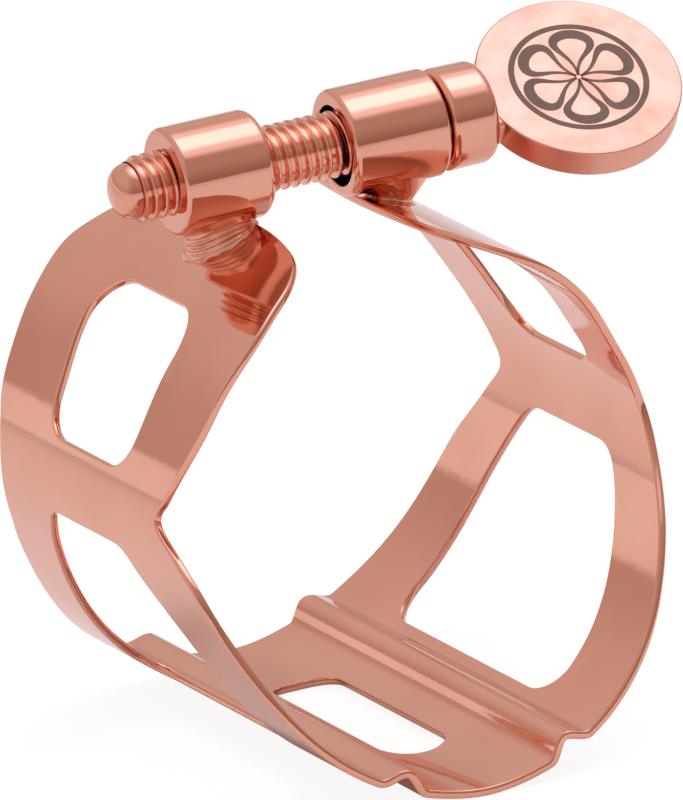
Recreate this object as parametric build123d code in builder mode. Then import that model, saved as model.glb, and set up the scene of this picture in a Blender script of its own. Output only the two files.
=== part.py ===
from build123d import *
import os
from math import atan2, cos, hypot, pi, radians, sin

# Saxophone mouthpiece ligature: a windowed sheet-metal band drawn shut by one thumbscrew.
# Millimetres. Origin on the mouthpiece axis at the middle of the band's length,
# Y along the mouthpiece, +Z up towards the screw, X along the screw with the thumb disc at +X.

# band
seat_radius = 13.95
sheet = 0.5
mid_radius = seat_radius + sheet / 2
band_length = 33.0
belly_drop = 0.35  # how far the band bows out between the two reed rails
rail_rise = 0.75  # how far each reed rail stands into the bore
rail_angle = 19.0
rail_inner_angle = 13.0
rail_outer_angle = 24.5
shoulder_angle = 150.0
shoulder_radius = 10.5
shoulder_turn = 19.0
band_end_x = 3.0
hinge_gap = 0.1

# screw line
screw_height = 16.95
thread_radius = 1.8
thread_pitch = 0.6
thread_depth = 0.33
shank_radius = 1.3
screw_tip_x = -10.9
thread_end_x = 7.8

# barrels
barrel_radius = 2.9
threaded_barrel_x = -7.75
threaded_barrel_length = 5.3
threaded_bore_radius = 1.83
plain_barrel_x = 2.15
plain_barrel_length = 5.65
plain_bore_radius = 2.2
plain_bore_drop = 0.12

# posts
post_top_radius = 2.05
post_waist_radius = 1.7
post_foot_radius = 1.9
post_x = 5.0

# collar and thumb disc
collar_x = 8.0
collar_length = 2.85
collar_radius = 2.8
disc_radius = 5.6
disc_thickness = 1.75
disc_centre_x = 16.4
disc_tilt = 56.0
tang_width = 3.6

os.makedirs("parts", exist_ok=True)


def polar(radius, degrees):
    """Point of the band's section, measured from the bottom of the ring."""
    return (radius * sin(radians(degrees)), -radius * cos(radians(degrees)))


def rail_radius(degrees):
    """Mid-sheet radius across one reed rail: belly, rail crest, then the plain ring."""
    belly = mid_radius + belly_drop
    crest = mid_radius - rail_rise
    if degrees < rail_angle:
        blend = (degrees - rail_inner_angle) / (rail_angle - rail_inner_angle)
        return belly + (crest - belly) * (1 - cos(pi * blend)) / 2
    blend = (degrees - rail_angle) / (rail_outer_angle - rail_angle)
    return crest + (mid_radius - crest) * (1 - cos(pi * blend)) / 2


def rail_points(offset):
    """Points of one face of the sheet across a rail, offset square to the sheet."""
    points = []
    for step in range(13):
        angle = rail_inner_angle + (rail_outer_angle - rail_inner_angle) * step / 12
        before = polar(rail_radius(max(angle - 0.05, rail_inner_angle)), angle - 0.05)
        after = polar(rail_radius(min(angle + 0.05, rail_outer_angle)), angle + 0.05)
        run = (after[0] - before[0], after[1] - before[1])
        size = hypot(*run)
        x, z = polar(rail_radius(angle), angle)
        points.append((x + offset * run[1] / size, z - offset * run[0] / size))
    return points


def sheet_face(offset):
    """One face of the right-hand half of the sheet, from the split at the bottom to the top end."""
    belly = mid_radius + belly_drop + offset
    start = (hinge_gap / 2, -((belly**2 - (hinge_gap / 2) ** 2) ** 0.5))
    points = rail_points(offset)
    ring = mid_radius + offset
    bend = shoulder_radius + offset
    centre = polar(mid_radius - shoulder_radius, shoulder_angle)
    flat_angle = shoulder_angle + shoulder_turn
    turn_mid = polar(bend, shoulder_angle + shoulder_turn / 2)
    turn_end = polar(bend, flat_angle)
    flat_start = (centre[0] + turn_end[0], centre[1] + turn_end[1])
    run = (band_end_x - flat_start[0]) / cos(radians(flat_angle))
    flat_end = (band_end_x, flat_start[1] + run * sin(radians(flat_angle)))
    ThreePointArc(start, polar(belly, rail_inner_angle / 2), polar(belly, rail_inner_angle))
    Spline(
        *([polar(belly, rail_inner_angle)] + points[1:-1] + [polar(ring, rail_outer_angle)]),
        tangents=[
            (cos(radians(rail_inner_angle)), sin(radians(rail_inner_angle))),
            (cos(radians(rail_outer_angle)), sin(radians(rail_outer_angle))),
        ],
    )
    ThreePointArc(polar(ring, rail_outer_angle), polar(ring, 85), polar(ring, shoulder_angle))
    ThreePointArc(
        polar(ring, shoulder_angle), (centre[0] + turn_mid[0], centre[1] + turn_mid[1]), flat_start
    )
    Line(flat_start, flat_end)
    return start, flat_end


def radial_plane(degrees):
    """Work plane square to the sheet: local x runs round the ring, local y along the mouthpiece."""
    x, z = polar(1, degrees)
    return Plane(
        origin=(x * (seat_radius - 2), 0, z * (seat_radius - 2)),
        x_dir=(cos(radians(degrees)), 0, sin(radians(degrees))),
        z_dir=(x, 0, z),
    )


# right half of the band, from the split at the bottom round to the plain barrel
with BuildPart() as band_right:
    with BuildSketch(Plane.XZ.offset(-band_length / 2)):
        with BuildLine():
            outer_start, outer_end = sheet_face(sheet / 2)
            inner_start, inner_end = sheet_face(-sheet / 2)
            Line(outer_start, inner_start)
            Line(outer_end, inner_end)
        make_face()
    extrude(amount=band_length)
    # rims: full length at the rails, a V waist beside the middle, wider again at the top
    for side in (1, -1):
        with BuildSketch(Plane.YZ):
            with BuildLine():
                low = Spline(
                    (side * 16.5, -13.2),
                    (side * 16.05, -9.6),
                    (side * 14.75, -6.4),
                    (side * 12.75, -2.9),
                    (side * 10.25, 0.2),
                    tangents=[(0, 1), (side * -0.6, 0.8)],
                )
                waist = ThreePointArc(low @ 1, (side * 9.85, 0.95), (side * 10.15, 1.8))
                high = Spline(
                    waist @ 1,
                    (side * 11.35, 4.4),
                    (side * 12.1, 7.6),
                    (side * 12.25, 11.0),
                    tangents=[(side * 0.45, 0.9), (0, 1)],
                )
                Polyline(
                    high @ 1,
                    (side * 12.25, 18),
                    (side * 22, 18),
                    (side * 22, -13.2),
                    low @ 0,
                )
            make_face()
        extrude(amount=20, mode=Mode.SUBTRACT)
    # top end: rounded corners, then a shallow point at the barrel
    for side in (1, -1):
        with BuildSketch(Plane.XY.offset(10)):
            with BuildLine():
                end_edge = Spline(
                    (9.0, side * 12.25),
                    (7.0, side * 11.8),
                    (5.5, side * 10.9),
                    (4.4, side * 9.5),
                    (3.65, side * 7.5),
                    (3.2, side * 4.5),
                    (3.03, side * 2.0),
                    (3.0, 0),
                    tangents=[(-1, 0), (0, -side)],
                )
                Polyline(end_edge @ 1, (-1, 0), (-1, side * 14), (9.0, side * 14), end_edge @ 0)
            make_face()
        extrude(amount=6, mode=Mode.SUBTRACT)
    # lower window
    with BuildSketch(radial_plane(56.5)):
        with BuildLine():
            outline = Polyline(
                (-6.8, 9.85),
                (1.0, 8.5),
                (4.6, 6.7),
                (7.0, 4.4),
                (7.0, -4.4),
                (4.6, -6.7),
                (1.0, -8.5),
                (-6.8, -9.85),
                close=True,
            )
        window = make_face()
        fillet(window.vertices().filter_by(lambda v: abs(v.Y) > 9 or abs(v.Y) < 5), radius=1.9)
    extrude(amount=6, mode=Mode.SUBTRACT)
    # upper window
    with BuildSketch(radial_plane(122.3)):
        with BuildLine():
            Polyline((-4.6, 5.0), (4.6, 5.8), (4.6, -5.8), (-4.6, -5.0), close=True)
        window = make_face()
        fillet(window.vertices(), radius=2.3)
    extrude(amount=6, mode=Mode.SUBTRACT)
    # half of the reed slot between the rails
    with BuildSketch(Plane.XY.offset(-17)):
        SlotOverall(16.2, 3.7, rotation=90)
    extrude(amount=5, mode=Mode.SUBTRACT)
band_right.part.label = "band_right"
export_step(band_right.part, "parts/band_right.step")

# left half of the band, its mirror image
with BuildPart() as band_left:
    add(mirror(band_right.part, about=Plane.YZ))
band_left.part.label = "band_left"
export_step(band_left.part, "parts/band_left.step")

# threaded barrel: the nut that the screw pulls, its bore a plain stand-in for the internal thread
with BuildPart() as threaded_barrel:
    with BuildSketch(Plane.YZ.offset(threaded_barrel_x)):
        with Locations((0, screw_height)):
            Circle(barrel_radius)
    extrude(amount=threaded_barrel_length)
    fillet(threaded_barrel.edges(), radius=0.3)
    with BuildSketch(Plane.YZ.offset(threaded_barrel_x)):
        with Locations((0, screw_height)):
            Circle(threaded_bore_radius)
    extrude(amount=threaded_barrel_length, mode=Mode.SUBTRACT)
threaded_barrel.part.label = "threaded_barrel"
export_step(threaded_barrel.part, "parts/threaded_barrel.step")

# plain barrel: an oversize smooth sleeve, so the screw may tilt as the band closes
with BuildPart() as plain_barrel:
    with BuildSketch(Plane.YZ.offset(plain_barrel_x)):
        with Locations((0, screw_height)):
            Circle(barrel_radius)
    extrude(amount=plain_barrel_length)
    fillet(plain_barrel.edges(), radius=0.2)
    with BuildSketch(Plane.YZ.offset(plain_barrel_x)):
        with Locations((0, screw_height - plain_bore_drop)):
            Circle(plain_bore_radius)
    extrude(amount=plain_barrel_length, mode=Mode.SUBTRACT)
plain_barrel.part.label = "plain_barrel"
export_step(plain_barrel.part, "parts/plain_barrel.step")


# where the flat top end of the band starts, and its slope
slope = radians(180 - shoulder_angle - shoulder_turn)
shoulder_centre = polar(mid_radius - shoulder_radius, shoulder_angle)
flat_x = shoulder_centre[0] + shoulder_radius * sin(slope)
flat_z = shoulder_centre[1] + shoulder_radius * cos(slope)

# post under the plain barrel: a turned, waisted stud saddled to the barrel and to the band
with BuildPart() as plain_barrel_post:
    with BuildSketch(Plane.XZ):
        with BuildLine():
            foot_edge = post_x + post_foot_radius
            waist_edge = post_x + post_waist_radius
            top_edge = post_x + post_top_radius
            Polyline(
                (post_x, 16.0),
                (post_x, 11.6),
                (foot_edge, 11.6),
                (foot_edge, 13.2),
                (waist_edge, 13.5),
            )
            ThreePointArc((waist_edge, 13.5), (waist_edge + 0.1, 14.2), (top_edge, 14.9))
            Polyline((top_edge, 14.9), (top_edge, 16.0), (post_x, 16.0))
        make_face()
    revolve(axis=Axis((post_x, 0, 0), (0, 0, 1)), revolution_arc=360)
    with BuildSketch(Plane.YZ):
        with Locations((0, screw_height)):
            Circle(barrel_radius)
    extrude(amount=12, mode=Mode.SUBTRACT)
    with BuildSketch(Plane.XZ.offset(-4)):
        Polygon(
            (0, 8),
            (10, 8),
            (10, 9.8),
            (8.0, 11.65),
            (6.5, 12.6),
            (5.0, 13.2),
            (flat_x, flat_z),
            (0, flat_z + flat_x * sin(slope) / cos(slope)),
            align=None,
        )
    extrude(amount=8, mode=Mode.SUBTRACT)
    add(band_right.part, mode=Mode.SUBTRACT)
plain_barrel_post.part.label = "plain_barrel_post"
export_step(plain_barrel_post.part, "parts/plain_barrel_post.step")

# post under the threaded barrel: the same stud, mirrored
with BuildPart() as threaded_barrel_post:
    add(mirror(plain_barrel_post.part, about=Plane.YZ))
threaded_barrel_post.part.label = "threaded_barrel_post"
export_step(threaded_barrel_post.part, "parts/threaded_barrel_post.step")

# screw: domed tip, thread drawn as rings at the thread's pitch, plain shank through the collar
thread_start_x = screw_tip_x + 1.5
ring_count = int((thread_end_x - thread_start_x) / thread_pitch)
with BuildPart() as screw_shaft:
    with BuildSketch(Plane.XZ):
        with BuildLine():
            root_z = screw_height + thread_radius - thread_depth
            crest_z = screw_height + thread_radius
            Line((screw_tip_x, screw_height), (thread_start_x, screw_height))
            dome = ThreePointArc(
                (screw_tip_x, screw_height),
                (screw_tip_x + 0.42, screw_height + 1.0),
                (thread_start_x, root_z),
            )
            thread = [(thread_start_x, root_z)]
            for ring in range(ring_count):
                x = thread_start_x + ring * thread_pitch
                thread.append((x + 0.25 * thread_pitch, crest_z))
                thread.append((x + 0.4 * thread_pitch, crest_z))
                thread.append((x + 0.65 * thread_pitch, root_z))
                thread.append((x + thread_pitch, root_z))
            Polyline(*thread)
            shank_z = screw_height + shank_radius
            end_x = collar_x + collar_length + 0.1
            Polyline(
                thread[-1],
                (thread_end_x + 0.1, root_z),
                (thread_end_x + 0.1, shank_z),
                (end_x, shank_z),
                (end_x, screw_height),
                (thread_start_x, screw_height),
            )
        make_face()
    revolve(axis=Axis((0, 0, screw_height), (1, 0, 0)), revolution_arc=360)
screw_shaft.part.label = "screw_shaft"
export_step(screw_shaft.part, "parts/screw_shaft.step")

# collar: the shoulder that bears on the plain barrel
with BuildPart() as screw_collar:
    with BuildSketch(Plane.YZ.offset(collar_x)):
        with Locations((0, screw_height)):
            Circle(collar_radius)
    extrude(amount=collar_length)
    fillet(screw_collar.edges().sort_by(Axis.X)[0], radius=0.35)
    fillet(screw_collar.edges().sort_by(Axis.X)[-1], radius=0.5)
    with BuildSketch(Plane.YZ.offset(collar_x)):
        with Locations((0, screw_height)):
            Circle(shank_radius + 0.02)
    extrude(amount=collar_length, mode=Mode.SUBTRACT)
screw_collar.part.label = "screw_collar"
export_step(screw_collar.part, "parts/screw_collar.step")

# thumb disc: a round plate standing on the screw's axis, with a short tang to the shank
disc_plane = Plane(
    origin=(disc_centre_x, 0, screw_height),
    x_dir=(1, 0, 0),
    z_dir=(0, -cos(radians(disc_tilt)), sin(radians(disc_tilt))),
)
tang_start = collar_x + collar_length + 0.1 - disc_centre_x
with BuildPart() as thumb_disc:
    with BuildSketch(disc_plane.offset(-disc_thickness / 2)):
        Circle(disc_radius)
    extrude(amount=disc_thickness)
    fillet(thumb_disc.edges(), radius=0.3)
    with BuildSketch(disc_plane.offset(-disc_thickness / 2)):
        with Locations((tang_start, 0)):
            Rectangle(1.5, tang_width, align=(Align.MIN, Align.CENTER))
    extrude(amount=disc_thickness)
    # the rim is ground flat where it meets the end of the shank
    with BuildSketch(disc_plane.offset(-disc_thickness / 2)):
        with Locations((tang_start, 0)):
            Rectangle(2.0, 2 * disc_radius, align=(Align.MAX, Align.CENTER))
    extrude(amount=disc_thickness, mode=Mode.SUBTRACT)
thumb_disc.part.label = "thumb_disc"
export_step(thumb_disc.part, "parts/thumb_disc.step")
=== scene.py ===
from math import atan2, ceil, cos, exp, hypot, pi, radians, sin, sqrt, tan

import bpy
import numpy as np
from mathutils import Matrix, Vector
from mathutils.geometry import delaunay_2d_cdt


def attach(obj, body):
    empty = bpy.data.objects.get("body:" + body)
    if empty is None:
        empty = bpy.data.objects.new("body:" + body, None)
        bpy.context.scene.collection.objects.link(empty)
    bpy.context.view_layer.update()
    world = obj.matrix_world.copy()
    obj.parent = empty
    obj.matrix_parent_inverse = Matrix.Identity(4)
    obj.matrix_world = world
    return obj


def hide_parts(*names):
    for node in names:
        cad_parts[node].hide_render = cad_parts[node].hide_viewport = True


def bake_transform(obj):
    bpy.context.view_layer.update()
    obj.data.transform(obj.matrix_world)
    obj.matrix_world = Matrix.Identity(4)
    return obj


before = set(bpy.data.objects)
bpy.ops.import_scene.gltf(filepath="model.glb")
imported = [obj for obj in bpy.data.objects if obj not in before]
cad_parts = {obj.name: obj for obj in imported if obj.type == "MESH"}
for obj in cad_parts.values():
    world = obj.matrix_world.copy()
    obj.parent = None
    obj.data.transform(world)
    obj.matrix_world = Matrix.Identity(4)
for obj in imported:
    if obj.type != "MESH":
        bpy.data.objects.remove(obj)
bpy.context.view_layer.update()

# Lengths below are millimetres; MM turns them into metres as the meshes are made.
MM = 0.001
SCREW_Z = 16.95
BARREL = 2.93
SHEET = 0.46
EDGE = 0.13


# ---------------------------------------------------------------- mesh helpers
def make_mesh(name, points, faces, normals=None, material=None, outward=None):
    """A smooth-shaded mesh object from points in millimetres, with its own normals if given."""
    points = np.array([tuple(p) for p in points], float)
    guide = np.array([tuple(n) for n in normals]) if normals is not None else outward
    turned = []
    for f in faces:
        f = tuple(int(k) for k in f)
        if guide is not None:
            a, b, c = points[f[0]], points[f[len(f) // 2]], points[f[-1]]
            m = np.cross(b - a, c - a)
            way = guide[list(f)].mean(axis=0) if not callable(guide) else guide((a + b + c) / 3)
            if m @ way < 0:
                f = f[::-1]
        turned.append(f)
    mesh = bpy.data.meshes.new(name)
    mesh.from_pydata([tuple(float(c) * MM for c in p) for p in points], [], turned)
    mesh.validate()
    mesh.shade_smooth()
    if normals is not None:
        mesh.normals_split_custom_set_from_vertices([tuple(float(c) for c in n) for n in normals])
    obj = bpy.data.objects.new(name, mesh)
    bpy.context.scene.collection.objects.link(obj)
    if material is not None:
        mesh.materials.append(material)
    return obj


def smooth_line(points, spacing):
    """A centripetal Catmull-Rom curve through the points, resampled evenly."""
    pts = [np.array(p, float) for p in points]
    pts = [2 * pts[0] - pts[1]] + pts + [2 * pts[-1] - pts[-2]]
    fine = []
    for i in range(1, len(pts) - 2):
        a, b, c, d = pts[i - 1 : i + 3]
        t = [0.0]
        for u, v in ((a, b), (b, c), (c, d)):
            t.append(t[-1] + max(np.linalg.norm(v - u), 1e-6) ** 0.5)
        for k in range(24):
            x = t[1] + (t[2] - t[1]) * k / 24
            ab = a + (b - a) * (x - t[0]) / (t[1] - t[0])
            bc = b + (c - b) * (x - t[1]) / (t[2] - t[1])
            cd = c + (d - c) * (x - t[2]) / (t[3] - t[2])
            abc = ab + (bc - ab) * (x - t[0]) / (t[2] - t[0])
            bcd = bc + (cd - bc) * (x - t[1]) / (t[3] - t[1])
            fine.append(abc + (bcd - abc) * (x - t[1]) / (t[2] - t[1]))
    fine.append(pts[-2])
    return resample(fine, spacing)


def resample(line, spacing):
    """The same line with points about `spacing` apart, ends kept."""
    line = np.array(line, float)
    run = np.r_[0, np.cumsum(np.linalg.norm(np.diff(line, axis=0), axis=1))]
    count = max(2, int(ceil(run[-1] / spacing)) + 1)
    at = np.linspace(0, run[-1], count)
    return [np.array([np.interp(x, run, line[:, 0]), np.interp(x, run, line[:, 1])]) for x in at]


def round_corners(corners, spacing):
    """A closed loop through (x, y, radius) corners, each rounded by its radius."""
    loop = []
    n = len(corners)
    for i in range(n):
        p = np.array(corners[i][:2], float)
        radius = corners[i][2]
        a = np.array(corners[i - 1][:2], float) - p
        b = np.array(corners[(i + 1) % n][:2], float) - p
        la, lb = np.linalg.norm(a), np.linalg.norm(b)
        a, b = a / la, b / lb
        half = np.arccos(np.clip(a @ b, -1, 1)) / 2
        cut = min(radius / tan(half), 0.49 * la, 0.49 * lb)
        r = cut * tan(half)
        centre = p + (a + b) / np.linalg.norm(a + b) * (r / sin(half))
        start, end = p + a * cut - centre, p + b * cut - centre
        u, v = atan2(start[1], start[0]), atan2(end[1], end[0])
        turn = (v - u + pi) % (2 * pi) - pi
        steps = max(3, int(ceil(abs(turn) * r / spacing)))
        for k in range(steps + 1):
            w = u + turn * k / steps
            loop.append(centre + r * np.array([cos(w), sin(w)]))
    closed = resample(loop + [loop[0]], spacing)
    return closed[:-1]


def profile(corners, closed=False, arc_steps=7):
    """A turning profile from (x, r, fillet) corners: points and outward normals, smooth at each fillet."""
    out = []
    n = len(corners)
    for i in range(n):
        p = np.array(corners[i][:2], float)
        fillet = corners[i][2]
        first = i == 0 and not closed
        last = i == n - 1 and not closed
        before = p - np.array(corners[i - 1][:2], float) if not first else None
        after = np.array(corners[(i + 1) % n][:2], float) - p if not last else None
        if first or last:
            run = after if first else before
            run = run / np.linalg.norm(run)
            out.append((p, np.array([-run[1], run[0]])))
            continue
        la, lb = np.linalg.norm(before), np.linalg.norm(after)
        a, b = before / la, after / lb
        na, nb = np.array([-a[1], a[0]]), np.array([-b[1], b[0]])
        half = np.arccos(np.clip(-(a @ b), -1, 1)) / 2
        cut = min(fillet / tan(half), 0.48 * la, 0.48 * lb)
        r = cut * tan(half)
        start, end = p - a * cut, p + b * cut
        out.append((start - a * min(0.25 * cut, 0.02), na))
        for k in range(arc_steps + 1):
            w = k / arc_steps
            m = na * (1 - w) + nb * w
            m = m / np.linalg.norm(m)
            side = 1 if na @ b < 0 else -1
            centre = start - side * na * r
            out.append((centre + side * m * r, m))
        out.append((end + b * min(0.25 * cut, 0.02), nb))
    return out


def lathe(name, rows, place, turn, closed=False, segments=112, material=None, shape=None):
    """Turns profile rows about an axis. place(x, r, w) gives the point and turn(nx, nr, w) its normal."""
    points, normals, faces = [], [], []
    for p, m in rows:
        for k in range(segments):
            w = 2 * pi * k / segments
            q = place(p[0], p[1], w)
            points.append(shape(q) if shape else q)
            normals.append(turn(m[0], m[1], w))
    count = len(rows)
    for i in range(count if closed else count - 1):
        j = (i + 1) % count
        for k in range(segments):
            l = (k + 1) % segments
            faces.append((i * segments + k, i * segments + l, j * segments + l, j * segments + k))
    obj = make_mesh(name, points, faces, normals, material)
    return obj


def along_screw(x, r, w):
    return (x, r * cos(w), SCREW_Z + r * sin(w))


def along_screw_normal(nx, nr, w):
    return (nx, nr * cos(w), nr * sin(w))


# ---------------------------------------------------------------- materials
def rose_gold(name, light, deep, rough, grain=(1, 1, 1), grain_bump=0.05, dents=0.02, tarnish=0.0):
    """Polished rose-gold plate: faint colour drift, paler convex edges that are partly worn plating and
    partly a painted edge highlight, smears that change the gloss, fine polishing grain.
    """
    mat = bpy.data.materials.new(name)
    mat.use_nodes = True
    tree = mat.node_tree
    nodes, links = tree.nodes, tree.links
    shader = nodes["Principled BSDF"]
    shader.inputs["Metallic"].default_value = 1.0
    where = nodes.new("ShaderNodeTexCoord")

    def noise(scale, detail, rough_n=0.5, vector=None):
        n = nodes.new("ShaderNodeTexNoise")
        n.inputs["Scale"].default_value = scale
        n.inputs["Detail"].default_value = detail
        n.inputs["Roughness"].default_value = rough_n
        links.new(vector or where.outputs["Object"], n.inputs["Vector"])
        return n

    stretch = nodes.new("ShaderNodeMapping")
    stretch.inputs["Scale"].default_value = grain
    links.new(where.outputs["Object"], stretch.inputs["Vector"])
    drift = noise(130, 3)
    smear = noise(420, 5, 0.6)
    fine = noise(2600, 4, 0.65, stretch.outputs["Vector"])
    pits = noise(900, 2)

    ramp = nodes.new("ShaderNodeValToRGB")
    ramp.color_ramp.elements[0].position = 0.35
    ramp.color_ramp.elements[0].color = (*deep, 1)
    ramp.color_ramp.elements[1].position = 0.65
    ramp.color_ramp.elements[1].color = (*light, 1)
    links.new(drift.outputs["Fac"], ramp.inputs["Fac"])

    # convex edges painted brighter and paler by pointiness: partly worn plating, partly a painted edge
    # highlight
    edge = nodes.new("ShaderNodeNewGeometry")
    edge_wear_and_highlight = nodes.new("ShaderNodeMapRange")
    edge_wear_and_highlight.inputs["From Min"].default_value = 0.52
    edge_wear_and_highlight.inputs["From Max"].default_value = 0.62
    edge_wear_and_highlight.inputs["To Max"].default_value = 0.5
    links.new(edge.outputs["Pointiness"], edge_wear_and_highlight.inputs["Value"])
    worn_and_highlit_edge_colour = nodes.new("ShaderNodeMixRGB")
    worn_and_highlit_edge_colour.inputs["Color2"].default_value = (
        min(1, light[0] * 1.06 + 0.03),
        min(1, light[1] * 1.12 + 0.03),
        min(1, light[2] * 1.14 + 0.03),
        1,
    )
    links.new(edge_wear_and_highlight.outputs["Result"], worn_and_highlit_edge_colour.inputs["Fac"])
    links.new(ramp.outputs["Color"], worn_and_highlit_edge_colour.inputs["Color1"])
    colour = worn_and_highlit_edge_colour.outputs["Color"]
    if tarnish > 0:
        # heat-darkened flux stains, in patches
        patch = noise(700, 4, 0.6)
        held = nodes.new("ShaderNodeMapRange")
        held.inputs["From Min"].default_value = 0.46
        held.inputs["From Max"].default_value = 0.66
        held.inputs["To Max"].default_value = tarnish
        links.new(patch.outputs["Fac"], held.inputs["Value"])
        stain = nodes.new("ShaderNodeMixRGB")
        stain.inputs["Color2"].default_value = (deep[0] * 0.45, deep[1] * 0.33, deep[2] * 0.28, 1)
        links.new(held.outputs["Result"], stain.inputs["Fac"])
        links.new(colour, stain.inputs["Color1"])
        colour = stain.outputs["Color"]
    links.new(colour, shader.inputs["Base Color"])

    gloss = nodes.new("ShaderNodeMapRange")
    gloss.inputs["From Min"].default_value = 0.3
    gloss.inputs["From Max"].default_value = 0.7
    gloss.inputs["To Min"].default_value = rough * 0.75
    gloss.inputs["To Max"].default_value = rough * 1.35
    links.new(smear.outputs["Fac"], gloss.inputs["Value"])
    links.new(gloss.outputs["Result"], shader.inputs["Roughness"])

    soft = nodes.new("ShaderNodeBump")
    soft.inputs["Strength"].default_value = dents
    soft.inputs["Distance"].default_value = 0.0002
    links.new(pits.outputs["Fac"], soft.inputs["Height"])
    line = nodes.new("ShaderNodeBump")
    line.inputs["Strength"].default_value = grain_bump
    line.inputs["Distance"].default_value = 0.00004
    links.new(fine.outputs["Fac"], line.inputs["Height"])
    links.new(soft.outputs["Normal"], line.inputs["Normal"])
    links.new(line.outputs["Normal"], shader.inputs["Normal"])
    return mat


LIGHT = (0.86, 0.435, 0.315)
DEEP = (0.82, 0.395, 0.28)
band_metal = rose_gold(
    "rose_gold_sheet", LIGHT, DEEP, 0.06, grain=(1, 0.12, 1), grain_bump=0.035, dents=0.012
)
barrel_metal = rose_gold(
    "rose_gold_turned", LIGHT, DEEP, 0.075, grain=(1, 0.1, 0.1), grain_bump=0.04, dents=0.015
)
post_metal = rose_gold("rose_gold_brazed", LIGHT, DEEP, 0.13, grain_bump=0.1, dents=0.12, tarnish=0.55)
screw_metal = rose_gold("rose_gold_thread", LIGHT, DEEP, 0.13, grain=(0.3, 1, 1), grain_bump=0.08, dents=0.05)
SATIN_LIGHT, SATIN_DEEP = (0.80, 0.405, 0.30), (0.785, 0.393, 0.289)
disc_metal = rose_gold(
    "rose_gold_satin", SATIN_LIGHT, SATIN_DEEP, 0.33, grain=(1, 0.15, 0.15), grain_bump=0.05, dents=0.008
)


def engraving():
    """Darkened engraving: grey-brown etched metal, duller and slightly uneven."""
    mat = bpy.data.materials.new("darkened_engraving")
    mat.use_nodes = True
    nodes, links = mat.node_tree.nodes, mat.node_tree.links
    shader = nodes["Principled BSDF"]
    shader.inputs["Metallic"].default_value = 0.25
    where = nodes.new("ShaderNodeTexCoord")
    cloud = nodes.new("ShaderNodeTexNoise")
    cloud.inputs["Scale"].default_value = 900
    cloud.inputs["Detail"].default_value = 5
    links.new(where.outputs["Object"], cloud.inputs["Vector"])
    ramp = nodes.new("ShaderNodeValToRGB")
    ramp.color_ramp.elements[0].position = 0.3
    ramp.color_ramp.elements[0].color = (0.145, 0.082, 0.056, 1)
    ramp.color_ramp.elements[1].position = 0.72
    ramp.color_ramp.elements[1].color = (0.19, 0.135, 0.108, 1)
    links.new(cloud.outputs["Fac"], ramp.inputs["Fac"])
    links.new(ramp.outputs["Color"], shader.inputs["Base Color"])
    rough = nodes.new("ShaderNodeMapRange")
    rough.inputs["To Min"].default_value = 0.45
    rough.inputs["To Max"].default_value = 0.7
    links.new(cloud.outputs["Fac"], rough.inputs["Value"])
    links.new(rough.outputs["Result"], shader.inputs["Roughness"])
    bump = nodes.new("ShaderNodeBump")
    bump.inputs["Strength"].default_value = 0.3
    bump.inputs["Distance"].default_value = 0.00003
    links.new(cloud.outputs["Fac"], bump.inputs["Height"])
    links.new(bump.outputs["Normal"], shader.inputs["Normal"])
    return mat


inlay_dark = engraving()


# ---------------------------------------------------------------- band: its section
def ring_radius(degrees):
    """Mid-sheet radius, slightly out of round, with a rail pressed in beside a bowed belly."""
    a = abs(degrees)
    r = 14.0 * (1 + 0.052 * cos(radians(2 * a))) + 1.14 * exp(-(((a - 93.5) / 19.6) ** 2))
    t = min(1.0, max(0.0, (a - 110) / 26))
    t = t * t * (3 - 2 * t)
    r += (13.98 - r) * t
    u = (a - 19.5) / (5.2 if a < 19.5 else 6.2)
    if abs(u) < 1:
        r -= 0.88 * (0.5 + 0.5 * cos(pi * u))
    if a < 14.5:
        r += 0.1 * (0.5 + 0.5 * cos(pi * a / 14.5))
    return r


def ring_point(degrees):
    r = ring_radius(degrees)
    return np.array([r * sin(radians(degrees)), -r * cos(radians(degrees))])


def half_section():
    """The right half of the section as close (x, z, angle) rows, from the bottom to past the top end."""
    return np.array([(*ring_point(d), d) for d in np.arange(0, 174.01, 0.1)])


half = half_section()
half_run = np.r_[0, np.cumsum(np.hypot(np.diff(half[:, 0]), np.diff(half[:, 1])))]
tangent = np.gradient(half[:, :2], half_run, axis=0)
tangent /= np.linalg.norm(tangent, axis=1)[:, None]


def run_at(degrees):
    """Distance along the sheet from the bottom to this angle."""
    return float(np.interp(degrees, half[:, 2], half_run))


def run_at_x(x):
    """Distance along the sheet to this x on the flat top end."""
    i = int(np.argmax(half[:, 0]))
    return float(np.interp(-x, -half[i:, 0], half_run[i:]))


def sheet_point(s, y, height):
    """Point at s round the sheet, y along it and `height` above mid-sheet, with its normal and tangent."""
    side = 1.0 if s >= 0 else -1.0
    a = abs(s)
    x, z = np.interp(a, half_run, half[:, 0]), np.interp(a, half_run, half[:, 1])
    tx, tz = np.interp(a, half_run, tangent[:, 0]), np.interp(a, half_run, tangent[:, 1])
    size = hypot(tx, tz)
    tx, tz = tx / size, tz / size
    n = np.array([side * tz, 0.0, -tx])
    t = np.array([tx, 0.0, side * tz])
    return np.array([side * x, y, z]) + n * height, n, t


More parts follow.
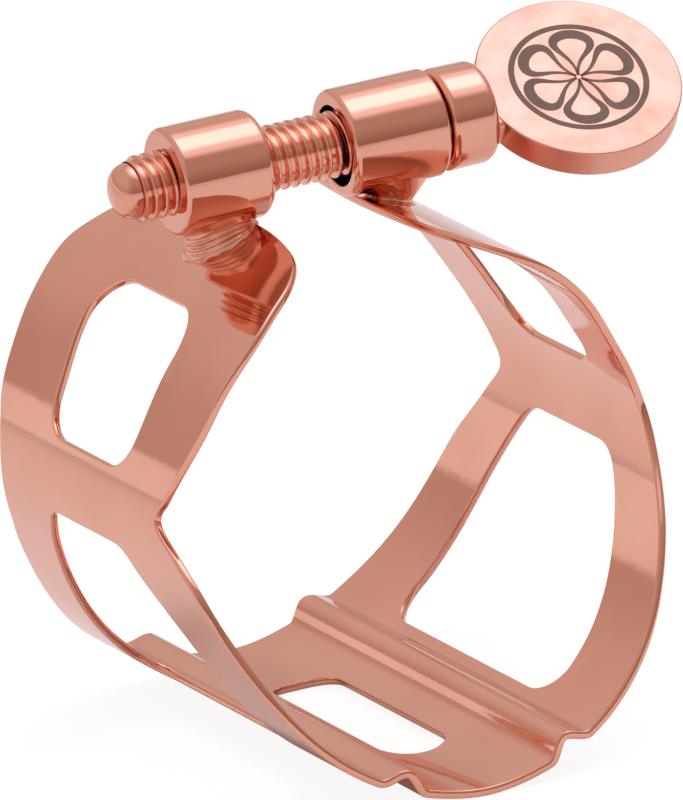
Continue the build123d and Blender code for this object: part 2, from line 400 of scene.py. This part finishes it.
# ---------------------------------------------------------------- band: its outline and cut-outs, unrolled
# rims: (degrees round the ring from the bottom, half-length there); flat top ends: (x, half-length)
end_edge = [
    (7.0, 11.85), (5.6, 11.0), (4.6, 9.75), (3.85, 8.1), (3.4, 5.8), (3.12, 3.0), (3.03, 1.2), (3.0, 0.0),
]
near_left_end = [
    (7.2, 11.35), (5.8, 10.35), (4.8, 9.1), (4.0, 7.5), (3.5, 5.4), (3.15, 3.0), (3.04, 1.2), (3.0, 0.0),
]
near_right_rim = [
    (0, 16.5), (22, 16.4), (46, 15.4), (60, 14.3), (72, 12.9), (89, 9.9), (97, 9.2), (101, 9.2),
    (128, 10.9), (143, 11.95),
]
far_right_rim = [
    (0, 16.5), (24, 16.45), (34, 16.1), (56, 14.4), (71.5, 12.75), (76, 11.95), (84, 10.25),
    (90.2, 8.8), (92.5, 8.85), (95, 9.3), (103, 10.3), (118, 10.8), (128, 11.3), (143, 12.1),
]
near_left_rim = [
    (0, 16.5), (35, 16.35), (56, 15.55), (73, 14.1), (84, 13.25), (90, 11.8), (96.9, 9.42),
    (101.5, 10.2), (120, 12.05), (136, 12.4), (143, 12.05),
]
far_left_rim = [
    (0, 16.5), (34, 16.3), (41, 15.6), (48, 14.75), (72, 12.6), (78, 11.75), (90, 10.6), (96, 10.5),
    (101, 10.8), (107, 11.5), (113, 11.9), (130, 12.2), (143, 12.5),
]


def rim_line(rim, end=end_edge):
    return smooth_line([(run_at(d), w) for d, w in rim] + [(run_at_x(x), w) for x, w in end], 0.2)


def side_line(near, far, near_end=end_edge):
    """One side's outline, from the near rim at the bottom round the top end to the far rim."""
    return [np.array([p[0], -p[1]]) for p in rim_line(near, near_end)] + rim_line(far)[-2::-1]


right_line = side_line(near_right_rim, far_right_rim)
left_line = side_line(near_left_rim, far_left_rim, near_left_end)
outline = right_line[:-1] + [np.array([-p[0], p[1]]) for p in left_line[::-1]][:-1]

right_upper_window = [
    (run_at(102.8), 4.75, 2.2),
    (run_at(138.6), 5.6, 2.6),
    (run_at(138.6), -5.6, 2.6),
    (run_at(102.8), -4.75, 2.2),
]
left_upper_window = [
    (-run_at(103.4), 4.9, 2.2),
    (-run_at(141.3), 5.95, 2.7),
    (-run_at(141.3), -5.95, 2.7),
    (-run_at(103.4), -4.9, 2.2),
]


def lower_window(side, top, shoulder):
    """A lower window's corners, (run, y, fillet): wide at the bottom, drawn in towards the top."""
    half_side = [(28, 9.95, 2.6), (46, 9.4, 14), (56, 8.85, 14), (66, 8.0, 12), shoulder, top]
    other_half = [(d, -w, r) for d, w, r in half_side[::-1]]
    return [(side * run_at(d), w, r) for d, w, r in half_side + other_half]


left_lower_window = lower_window(-1, top=(86.8, 4.5, 1.8), shoulder=(76, 6.6, 12))
right_lower_window = lower_window(1, top=(84.6, 5.0, 2.7), shoulder=(76, 6.7, 12))
slot_half = run_at(7.5)
reed_slot = [
    (slot_half, 8.1, 1.8),
    (slot_half, -8.1, 1.8),
    (-slot_half, -8.1, 1.8),
    (-slot_half, 8.1, 1.8),
]


cut_outs = (right_upper_window, right_lower_window, left_upper_window, left_lower_window, reed_slot)
holes = [round_corners(c, 0.2) for c in cut_outs]


def inward(loop, hole):
    """Unit vectors into the sheet, square to a closed loop."""
    p = np.array(loop)
    along = np.roll(p, -1, axis=0) - np.roll(p, 1, axis=0)
    along /= np.linalg.norm(along, axis=1)[:, None]
    side = np.c_[-along[:, 1], along[:, 0]]
    q = np.roll(p, -1, axis=0)
    area = float(np.sum(p[:, 0] * q[:, 1] - q[:, 0] * p[:, 1]))
    return side * (1 if (area > 0) != hole else -1)


def inside(points, loop):
    """Which of the points lie inside a closed loop."""
    p = np.asarray(loop)
    q = np.roll(p, -1, axis=0)
    x, y = points[:, 0][:, None], points[:, 1][:, None]
    crosses = (p[:, 1] > y) != (q[:, 1] > y)
    rise = np.where(q[:, 1] == p[:, 1], 1e-12, q[:, 1] - p[:, 1])
    at = p[:, 0] + (y - p[:, 1]) * (q[:, 0] - p[:, 0]) / rise
    return (np.sum(crosses & (x < at), axis=1) % 2) == 1


def sheet_metal_band():
    """The whole band in one mesh: two faces of the sheet joined round every cut edge by a rounded rim."""
    loops = [(np.array(outline), inward(outline, False))] + [(np.array(h), inward(h, True)) for h in holes]
    inset = [p + m * EDGE for p, m in loops]
    fine = list(np.arange(-run_at(28), run_at(28), 0.11))
    s_end = run_at_x(3.0)
    coarse = np.arange(run_at(28), s_end, 0.3)
    rows = [-c for c in coarse[::-1]] + fine + list(coarse)
    grid = []
    for i, s in enumerate(rows):
        shift = 0.28 if i % 2 else 0.0
        grid += [(s, y) for y in np.arange(-16.2 + shift, 16.4, 0.56)]
    grid = np.array(grid)
    keep = inside(grid, inset[0])
    for h in inset[1:]:
        keep &= ~inside(grid, h)
    grid = grid[keep]
    rim_points = np.vstack(inset)
    far = np.ones(len(grid), bool)
    for i in range(0, len(grid), 2000):
        d = np.linalg.norm(grid[i : i + 2000, None, :] - rim_points[None, :, :], axis=2)
        far[i : i + 2000] = d.min(axis=1) > 0.13
    grid = grid[far]
    flat = np.vstack([rim_points, grid])
    edges, first = [], 0
    starts = []
    for p in inset:
        n = len(p)
        starts.append(first)
        edges += [(first + k, first + (k + 1) % n) for k in range(n)]
        first += n
    found = delaunay_2d_cdt([Vector((float(x), float(y))) for x, y in flat], edges, [], 0, 1e-5)
    where = np.array([(v.x, v.y) for v in found[0]])
    tris = np.array([f for f in found[2]])
    middle = where[tris].mean(axis=1)
    keep = inside(middle, inset[0])
    for h in inset[1:]:
        keep &= ~inside(middle, h)
    tris = tris[keep]
    # the triangulation keeps the input order, so rim points are its first points
    points, normals, faces = [], [], []
    count = len(where)
    for height in (SHEET / 2, -SHEET / 2):
        for s, y in where:
            p, n, _ = sheet_point(s, y, height)
            points.append(p)
            normals.append(n if height > 0 else -n)
    a, b, c = where[tris[0][0]], where[tris[0][1]], where[tris[0][2]]
    up = np.cross(b - a, c - a) > 0
    for t in tris:
        t = tuple(int(k) for k in t)
        outer = t[::-1] if up else t
        faces.append(outer)
        faces.append(tuple(k + count for k in outer[::-1]))
    steps = 8
    for (edge, into), start in zip(loops, starts):
        n = len(edge)
        ring = [[start + k for k in range(n)]]
        for j in range(1, steps):
            w = pi / 2 - pi * j / steps
            depth = EDGE * (1 - abs(cos(w)) ** 0.85)
            height = SHEET / 2 * (abs(sin(w)) ** 0.85) * (1 if sin(w) >= 0 else -1)
            row = []
            for k in range(n):
                q = edge[k] + into[k] * depth
                p, up_n, along = sheet_point(q[0], q[1], height)
                out = -(into[k][0] * along + into[k][1] * np.array([0, 1.0, 0]))
                m = out * cos(w) / EDGE + up_n * sin(w) / (SHEET / 2)
                row.append(len(points))
                points.append(p)
                normals.append(m / np.linalg.norm(m))
            ring.append(row)
        ring.append([start + k + count for k in range(n)])
        for j in range(steps):
            for k in range(n):
                l = (k + 1) % n
                faces.append((ring[j][k], ring[j + 1][k], ring[j + 1][l], ring[j][l]))
    return make_mesh("ligature_band", points, faces, normals, band_metal)


band = sheet_metal_band()
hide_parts("band_left", "band_right")
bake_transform(band)


# ---------------------------------------------------------------- barrels
def barrel(name, x0, x1, bore, drop, left_round, right_round):
    """A turned sleeve with rounded ends and a chamfered bore."""

    def place(x, r, w):
        return (x, r * cos(w), SCREW_Z + r * sin(w) - (drop if r < 2.4 else 0))

    rows = profile(
        [
            (x0, bore, 0.1),
            (x0, BARREL, left_round),
            (x1, BARREL, right_round),
            (x1, bore, 0.1),
        ],
        closed=True,
    )
    return lathe(name, rows, place, along_screw_normal, closed=True, segments=144, material=barrel_metal)


left_barrel = barrel("threaded_barrel_turned", -7.75, -2.45, 1.76, 0.0, 0.3, 0.55)
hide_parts("threaded_barrel")
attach(left_barrel, "left_side")
right_barrel = barrel("plain_barrel_turned", 2.15, 7.8, 2.2, 0.12, 0.32, 0.25)
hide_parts("plain_barrel")
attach(right_barrel, "right_side")


# ---------------------------------------------------------------- posts
def plate_height(x):
    """Height of the band's outer face under a post."""
    s = run_at_x(min(abs(x), 9.2))
    return sheet_point(s, 0, SHEET / 2)[0][2]


def post(name, cx, spine, squeeze, groove, rough):
    """A short stud between the band and a barrel, saddled to the barrel, with a braze bead at its foot."""
    spine = smooth_line(spine, 0.03)
    segments = 144
    points, faces, hints = [], [], []
    for t, radius in spine:
        for k in range(segments):
            w = 2 * pi * k / segments
            cut = -groove * (0.5 - 0.5 * cos(2 * pi * t / 0.19)) if 0.19 < t < 0.76 else 0.0
            fade = max(0.0, 1 - t / 0.3)
            lump = rough * fade * (0.5 * sin(3 * w + 0.7) + 0.35 * sin(7 * w + 2.1) + 0.3 * sin(13 * w + 0.4))
            r = radius + cut + lump
            x, y = cx + r * cos(w), r * sin(w) * squeeze
            top = SCREW_Z - sqrt(BARREL**2 - min(abs(y), 2.6) ** 2) + 0.1
            foot = plate_height(x) - 0.03
            points.append((x, y, foot + (top - foot) * t))
            hints.append((cos(w), sin(w), 0.0))
    for i in range(len(spine) - 1):
        for k in range(segments):
            l = (k + 1) % segments
            faces.append((i * segments + k, i * segments + l, (i + 1) * segments + l, (i + 1) * segments + k))
    return make_mesh(name, points, faces, None, post_metal, outward=np.array(hints))


left_spine = [
    (0, 2.15), (0.05, 2.05), (0.13, 1.94), (0.3, 1.9), (0.6, 1.9), (0.8, 1.94), (0.92, 2.05), (1, 2.2),
]
left_post = post("threaded_barrel_stud", -5.0, left_spine, 1.0, 0.07, 0.02)
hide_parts("threaded_barrel_post")
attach(left_post, "left_side")
right_spine = [
    (0, 1.65), (0.06, 1.4), (0.16, 1.24), (0.34, 1.32), (0.55, 1.56), (0.75, 1.82), (0.9, 2.04), (1, 2.2),
]
right_post = post("plain_barrel_stud", 5.0, right_spine, 0.95, 0.0, 0.17)
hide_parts("plain_barrel_post")
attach(right_post, "right_side")


# ---------------------------------------------------------------- screw
def threaded_rod():
    """Screw with a domed tip and a true right-hand helical thread."""
    pitch, crest, root = 0.6, 1.8, 1.5
    tip, start, end = -10.9, -9.95, 7.5
    dome = []
    for k in range(17):
        w = pi / 2 * k / 16
        at = np.array([tip + 1.05 * (1 - cos(w)), max(1.52 * sin(w) ** 0.78, 0.001)])
        dome.append((at, np.array([-cos(w), sin(w)])))
    dome.append((np.array([11.0, 1.52]), np.array([0.0, 1.0])))
    rod = lathe("screw_core", dome, along_screw, along_screw_normal, segments=96, material=screw_metal)
    per_turn, segments = 12, 96
    shape = [min(1.0, max(0.0, 0.5 + 0.62 * cos(2 * pi * k / per_turn))) for k in range(per_turn)]
    count = int((end - start) / pitch * per_turn)
    points, faces, hints = [], [], []
    for i in range(count + 1):
        for k in range(segments + 1):
            w = 2 * pi * k / segments
            x = start + pitch * (i / per_turn + k / segments)
            fade = min(1.0, max(0.0, (x - start) / 0.4), max(0.0, (end + 0.6 - x) / 0.4))
            r = root - 0.05 + (crest - root + 0.05) * shape[i % per_turn] * fade
            points.append(along_screw(x, r, w))
            hints.append((0.0, cos(w), sin(w)))
    wide = segments + 1
    for i in range(count):
        for k in range(segments):
            faces.append((i * wide + k, i * wide + k + 1, (i + 1) * wide + k + 1, (i + 1) * wide + k))
    thread = make_mesh("screw_thread", points, faces, None, screw_metal, outward=np.array(hints))
    return rod, thread


rod, thread = threaded_rod()
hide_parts("screw_shaft")
for piece in (rod, thread):
    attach(piece, "screw")

collar = lathe(
    "screw_collar_turned",
    profile(
        [
            (8.0, 1.5, 0.08),
            (8.0, 2.8, 0.4),
            (10.85, 2.76, 0.6),
            (10.85, 1.5, 0.08),
        ],
        closed=True,
    ),
    along_screw,
    along_screw_normal,
    closed=True,
    segments=144,
    material=barrel_metal,
)
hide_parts("screw_collar")
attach(collar, "collar")

# ---------------------------------------------------------------- thumb disc
DISC = np.array([16.5, 0.0, SCREW_Z])
DISC_N = np.array([0.0, -cos(radians(56)), sin(radians(56))])
DISC_U = np.array([1.0, 0.0, 0.0])
DISC_V = np.cross(DISC_N, DISC_U)


def on_disc(h, r, w):
    return tuple(DISC + DISC_N * h + (DISC_U * cos(w) + DISC_V * sin(w)) * r)


def on_disc_normal(nh, nr, w):
    return tuple(DISC_N * nh + (DISC_U * cos(w) + DISC_V * sin(w)) * nr)


disc = lathe(
    "thumb_disc_plate",
    profile(
        [
            (-0.875, 0.0001, 0.0),
            (-0.875, 5.6, 0.2),
            (0.875, 5.6, 0.1),
            (0.875, 0.0001, 0.0),
        ]
    ),
    on_disc,
    on_disc_normal,
    segments=200,
    material=disc_metal,
)
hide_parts("thumb_disc")
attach(disc, "screw")


def tang():
    """The short block that joins the disc to the screw, rounded along its edges."""
    corners = [(2.0, 0.82, 0.25), (-2.0, 0.82, 0.25), (-2.0, -0.82, 0.25), (2.0, -0.82, 0.25)]
    section = round_corners(corners, 0.12)
    stations = [
        (10.6, 0.95), (10.9, 1.0), (11.4, 1.0), (11.8, 1.0), (11.92, 0.98), (11.98, 0.94), (12.0, 0.9),
    ]
    points, faces = [], []
    n = len(section)
    for x, grow in stations:
        for v, h in section:
            points.append(np.array([x, 0, SCREW_Z]) + DISC_V * v * grow + DISC_N * h * grow)
    for i in range(len(stations) - 1):
        for k in range(n):
            l = (k + 1) % n
            faces.append((i * n + k, i * n + l, (i + 1) * n + l, (i + 1) * n + k))
    faces.append(tuple((len(stations) - 1) * n + k for k in range(n)))
    middle = np.array([11.6, 0, SCREW_Z])
    obj = make_mesh("thumb_disc_tang", points, faces, None, disc_metal, outward=lambda p: p - middle)
    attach(obj, "screw")
    return obj


tang()


def inlay_strip(name, line, widths):
    """A flush engraved stroke on the disc's face: a centre line with its half-width at each point."""
    line = [np.array(p, float) for p in line]
    points, faces, normals = [], [], []
    for k, p in enumerate(line):
        a, b = line[max(k - 1, 0)], line[min(k + 1, len(line) - 1)]
        run = (b - a) / np.linalg.norm(b - a)
        side = np.array([-run[1], run[0]]) * widths[k]
        for q in (p + side, p, p - side):
            points.append(DISC + DISC_N * 0.881 + DISC_U * q[0] + DISC_V * q[1])
            normals.append(DISC_N)
    for k in range(len(line) - 1):
        for j in range(2):
            a = 3 * k + j
            faces.append((a, a + 1, a + 4, a + 3))
    obj = make_mesh(name, points, faces, normals, inlay_dark)
    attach(obj, "screw")
    return obj


# a plain ornament: a ring round a six-petalled rosette
ring_line = [(3.65 * cos(2 * pi * k / 120), 3.65 * sin(2 * pi * k / 120)) for k in range(121)]
inlay_strip("engraved_ring", ring_line, [0.17] * 121)
for petal in range(6):
    turn = 2 * pi * petal / 6 + 0.26
    line, widths = [], []
    for k in range(41):
        t = k / 40
        w = pi * (t - 0.5)
        reach = max(3.1 * max(cos(w), 0.0) ** 0.8, 0.14)
        lean = turn + 0.42 * sin(2 * pi * t)
        line.append((reach * cos(lean), reach * sin(lean)))
        widths.append(0.08 + 0.24 * sin(pi * t) ** 2)
    inlay_strip(f"engraved_petal_{petal}", line, widths)

# ---------------------------------------------------------------- floor, light and camera
def plane(name, height, base, glow):
    """A wide matt sheet below the band."""
    reach = 8.0
    mesh = bpy.data.meshes.new(name)
    mesh.from_pydata(
        [(-reach, -reach, 0), (reach, -reach, 0), (reach, reach, 0), (-reach, reach, 0)], [], [(0, 1, 2, 3)]
    )
    obj = bpy.data.objects.new(name, mesh)
    obj.location = (0, 0, height)
    bpy.context.scene.collection.objects.link(obj)
    mat = bpy.data.materials.new(name)
    mat.use_nodes = True
    shader = mat.node_tree.nodes["Principled BSDF"]
    shader.inputs["Base Color"].default_value = (base, base, base, 1)
    shader.inputs["Roughness"].default_value = 0.9
    shader.inputs["Specular IOR Level"].default_value = 0.0
    shader.inputs["Emission Color"].default_value = (1, 1, 1, 1)
    shader.inputs["Emission Strength"].default_value = glow
    mesh.materials.append(mat)
    return obj


# the pale floor that is seen, softly lit from below, and the matt table top that the metal mirrors
floor = plane("floor", -0.01515, 0.15, 0.9)
floor.visible_glossy = False
floor.visible_diffuse = False
floor.visible_shadow = False
table = plane("table_top", -0.01525, 0.78, 0.02)
table.visible_camera = False
table.visible_shadow = False

key_data = bpy.data.lights.new("overhead", "AREA")
key_data.shape = "DISK"
key_data.size = 0.5
key_data.energy = 0.9
key = bpy.data.objects.new("overhead", key_data)
key.location = (0.05, -0.05, 0.55)
key.rotation_euler = (Vector((0, 0, 0)) - Vector(key.location)).to_track_quat("-Z", "Y").to_euler()
key.visible_glossy = False
bpy.context.scene.collection.objects.link(key)

# a soft studio: white sweep below, warm grey walls, a softbox overhead, a dark camera side
world = bpy.data.worlds.new("studio")
bpy.context.scene.world = world
world.use_nodes = True
wn, wl = world.node_tree.nodes, world.node_tree.links
wn.clear()
out = wn.new("ShaderNodeOutputWorld")
direction = wn.new("ShaderNodeTexCoord")


def maths(kind, a, b=None, c=None):
    node = wn.new("ShaderNodeMath")
    node.operation = kind
    for i, v in enumerate((a, b, c)):
        if v is None:
            continue
        if isinstance(v, (int, float)):
            node.inputs[i].default_value = v
        else:
            wl.new(v, node.inputs[i])
    return node.outputs[0]


def towards(vec):
    node = wn.new("ShaderNodeVectorMath")
    node.operation = "DOT_PRODUCT"
    wl.new(direction.outputs["Generated"], node.inputs[0])
    node.inputs[1].default_value = Vector(vec).normalized()
    return node.outputs["Value"]


def ramp_between(value, low, high):
    node = wn.new("ShaderNodeMapRange")
    node.interpolation_type = "SMOOTHSTEP"
    node.inputs["From Min"].default_value = low
    node.inputs["From Max"].default_value = high
    wl.new(value, node.inputs["Value"])
    return node.outputs["Result"]


def mixed(fac, a, b):
    node = wn.new("ShaderNodeMixRGB")
    wl.new(fac, node.inputs["Fac"])
    for name, v in (("Color1", a), ("Color2", b)):
        if isinstance(v, tuple):
            node.inputs[name].default_value = (*v, 1)
        else:
            wl.new(v, node.inputs[name])
    return node.outputs["Color"]


up = towards((0, 0, 1))
front = towards((0.38, -0.92, 0.1))
back_wall = mixed(ramp_between(up, 0.1, 0.5), (0.57, 0.45, 0.41), (0.70, 0.62, 0.60))
front_wall = mixed(ramp_between(up, -0.1, 0.6), (0.32, 0.21, 0.17), (0.52, 0.41, 0.37))
wall = mixed(ramp_between(front, 0.1, 0.8), back_wall, front_wall)
softbox = towards((0.38, 0.03, 0.92))
wall = mixed(ramp_between(softbox, 0.79, 0.925), wall, (1.15, 1.12, 1.22))
wall = mixed(ramp_between(softbox, 0.94, 0.985), wall, (2.15, 2.05, 2.4))
# the sweep ends at a slanting edge: higher behind, lower towards the camera, with a dark strip in front
edge = maths("SUBTRACT", towards((0.05, -0.097, 1)), 0.02)
above_strip = ramp_between(edge, 0.03, 0.05)
strip = maths("MULTIPLY", ramp_between(front, 0.75, 0.9), maths("SUBTRACT", 1.0, above_strip))
wall = mixed(strip, wall, (0.09, 0.02, 0.01))
studio = mixed(ramp_between(edge, -0.004, 0.004), (0.88, 0.86, 0.87), wall)
path = wn.new("ShaderNodeLightPath")
seen = wn.new("ShaderNodeBackground")
seen.inputs["Color"].default_value = (1, 1, 1, 1)
lit = wn.new("ShaderNodeBackground")
wl.new(studio, lit.inputs["Color"])
choose = wn.new("ShaderNodeMixShader")
wl.new(path.outputs["Is Camera Ray"], choose.inputs["Fac"])
wl.new(lit.outputs["Background"], choose.inputs[1])
wl.new(seen.outputs["Background"], choose.inputs[2])
wl.new(choose.outputs["Shader"], out.inputs["Surface"])

scene = bpy.context.scene
scene.view_settings.view_transform = "Standard"

AZ, EL, ROLL = radians(-23.24), radians(16.35), radians(-6.28)
DISTANCE = 1.5
PER_MM = 18.76
toward = Vector((sin(AZ) * cos(EL), -cos(AZ) * cos(EL), sin(EL)))
right = Vector((cos(AZ), sin(AZ), 0))
upward = right.cross(-toward)
right2 = right * cos(ROLL) + upward * sin(ROLL)
up2 = upward * cos(ROLL) - right * sin(ROLL)
target = (right * 1.31 + upward * 2.66 + Vector((0, 1.04, 0))) * MM
camera_data = bpy.data.cameras.new("camera")
camera = bpy.data.objects.new("camera", camera_data)
camera_data.lens = PER_MM * DISTANCE / MM * 36.0 / 800.0
camera_data.clip_start = 0.01
camera.matrix_world = Matrix(
    (
        (right2.x, up2.x, toward.x, target.x + toward.x * DISTANCE),
        (right2.y, up2.y, toward.y, target.y + toward.y * DISTANCE),
        (right2.z, up2.z, toward.z, target.z + toward.z * DISTANCE),
        (0, 0, 0, 1),
    )
)
scene.collection.objects.link(camera)
scene.camera = camera
